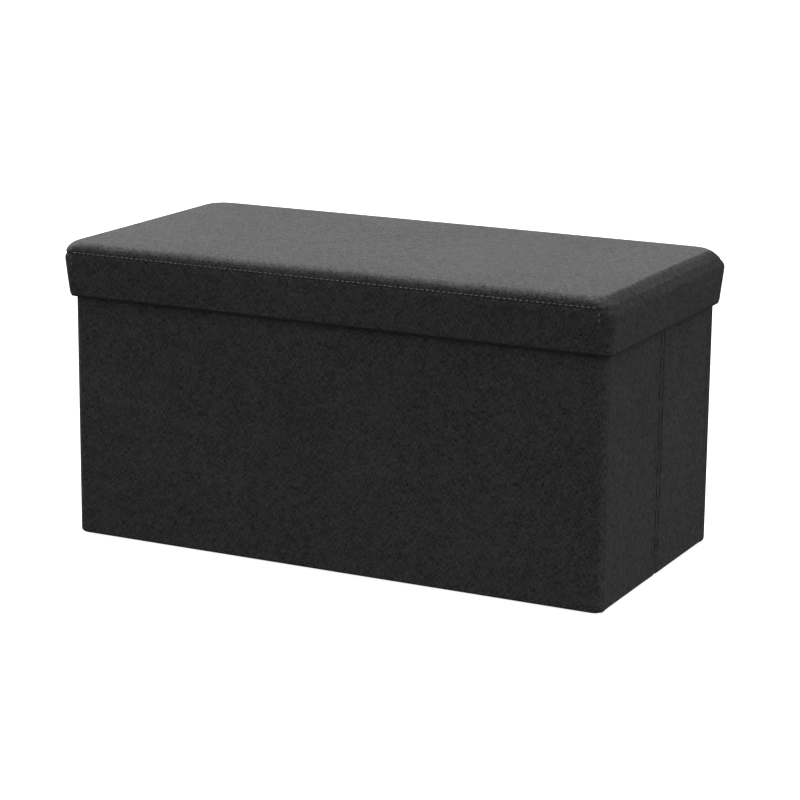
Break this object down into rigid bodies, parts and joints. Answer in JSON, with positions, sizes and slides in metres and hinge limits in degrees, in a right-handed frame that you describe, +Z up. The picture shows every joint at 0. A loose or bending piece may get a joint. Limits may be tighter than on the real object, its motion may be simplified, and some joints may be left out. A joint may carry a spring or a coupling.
{
  "type": "folding storage ottoman",
  "caption": "Upholstered folding storage box with a padded lift-off lid whose skirt overhangs the walls; the ends fold inwards and the floor rises, so the box closes flat.",
  "frame": {"origin": "on the ground, under the middle of the box and its lid", "axes": "+Z up, +X to the right along the long side as seen from the front, -Y is the way the front panel faces"},
  "size_m": [0.76, 0.38, 0.386],
  "materials": {
    "upholstery": "matte",
    "liner": "matte",
    "board": "matte",
    "foam": "matte",
    "ribbon": "satin"
  },
  "bodies": {
    "front_panel": {"front_panel_board": "board", "front_panel_cover": "upholstery", "front_panel_lining": "liner", "front_left_batten": "upholstery", "front_right_batten": "upholstery"},
    "left_front_half": {"left_front_half_board": "board", "left_front_half_cover": "upholstery", "left_front_half_lining": "liner", "left_front_corner_hinge": "liner", "left_fold_hinge": "upholstery"},
    "left_rear_half": {"left_rear_half_board": "board", "left_rear_half_cover": "upholstery", "left_rear_half_lining": "liner", "left_rear_corner_hinge": "liner"},
    "back_panel": {"back_panel_board": "board", "back_panel_cover": "upholstery", "back_panel_lining": "liner", "back_left_batten": "upholstery", "back_right_batten": "upholstery"},
    "right_front_half": {"right_front_half_board": "board", "right_front_half_cover": "upholstery", "right_front_half_lining": "liner", "right_front_corner_hinge": "liner", "right_fold_hinge": "upholstery"},
    "right_rear_half": {"right_rear_half_board": "board", "right_rear_half_cover": "upholstery", "right_rear_half_lining": "liner", "right_rear_corner_hinge": "liner"},
    "floor_front_leaf": {"floor_front_board": "board", "floor_front_cover": "liner", "floor_pull_ribbon": "ribbon"},
    "floor_back_leaf": {"floor_back_board": "board", "floor_back_cover": "liner"},
    "lid": {"lid_board": "board", "lid_foam": "foam", "lid_cover": "upholstery", "lid_lining": "liner", "lid_front_rim": "board", "lid_back_rim": "board", "lid_left_rim": "board", "lid_right_rim": "board"}
  },
  "joints": [
    {"name": "left_front_hinge", "type": "hinge", "parent": "front_panel", "child": "left_front_half", "pos_m": [-0.3565, -0.1619, 0], "axis": [0, 0, 1], "range_deg": [-88, 0], "deforming": ["left_front_corner_hinge"]},
    {"name": "left_centre_fold", "type": "hinge", "parent": "left_front_half", "child": "left_rear_half", "pos_m": [-0.371, 0, 0], "axis": [0, 0, 1], "range_deg": [0, 176], "deforming": ["left_fold_hinge"]},
    {"name": "left_rear_hinge", "type": "hinge", "parent": "left_rear_half", "child": "back_panel", "pos_m": [-0.3565, 0.1619, 0], "axis": [0, 0, 1], "range_deg": [-88, 0], "deforming": ["left_rear_corner_hinge"]},
    {"name": "right_front_hinge", "type": "hinge", "parent": "front_panel", "child": "right_front_half", "pos_m": [0.3565, -0.1619, 0], "axis": [0, 0, 1], "range_deg": [0, 88], "deforming": ["right_front_corner_hinge"]},
    {"name": "right_centre_fold", "type": "hinge", "parent": "right_front_half", "child": "right_rear_half", "pos_m": [0.371, 0, 0], "axis": [0, 0, 1], "range_deg": [-176, 0], "deforming": ["right_fold_hinge", "right_rear_corner_hinge"]},
    {"name": "floor_front_hinge", "type": "hinge", "parent": "front_panel", "child": "floor_front_leaf", "pos_m": [0, -0.1684, 0.0094], "axis": [1, 0, 0], "range_deg": [0, 88], "deforming": ["floor_front_cover"]},
    {"name": "floor_back_hinge", "type": "hinge", "parent": "back_panel", "child": "floor_back_leaf", "pos_m": [0, 0.1684, 0.0094], "axis": [1, 0, 0], "range_deg": [-88, 0], "deforming": ["floor_back_cover"]},
    {"name": "lid_lift", "type": "slide", "parent": "front_panel", "child": "lid", "axis": [0, 0, 1], "range_m": [0, 0.42]}
  ],
  "couplings": [
    {"joint": "left_centre_fold", "follows": "left_front_hinge", "ratio": -2},
    {"joint": "left_rear_hinge", "follows": "left_front_hinge", "ratio": 1},
    {"joint": "right_front_hinge", "follows": "left_front_hinge", "ratio": -1},
    {"joint": "right_centre_fold", "follows": "left_front_hinge", "ratio": 2},
    {"joint": "floor_front_hinge", "follows": "left_front_hinge", "ratio": -1},
    {"joint": "floor_back_hinge", "follows": "left_front_hinge", "ratio": 1}
  ]
}
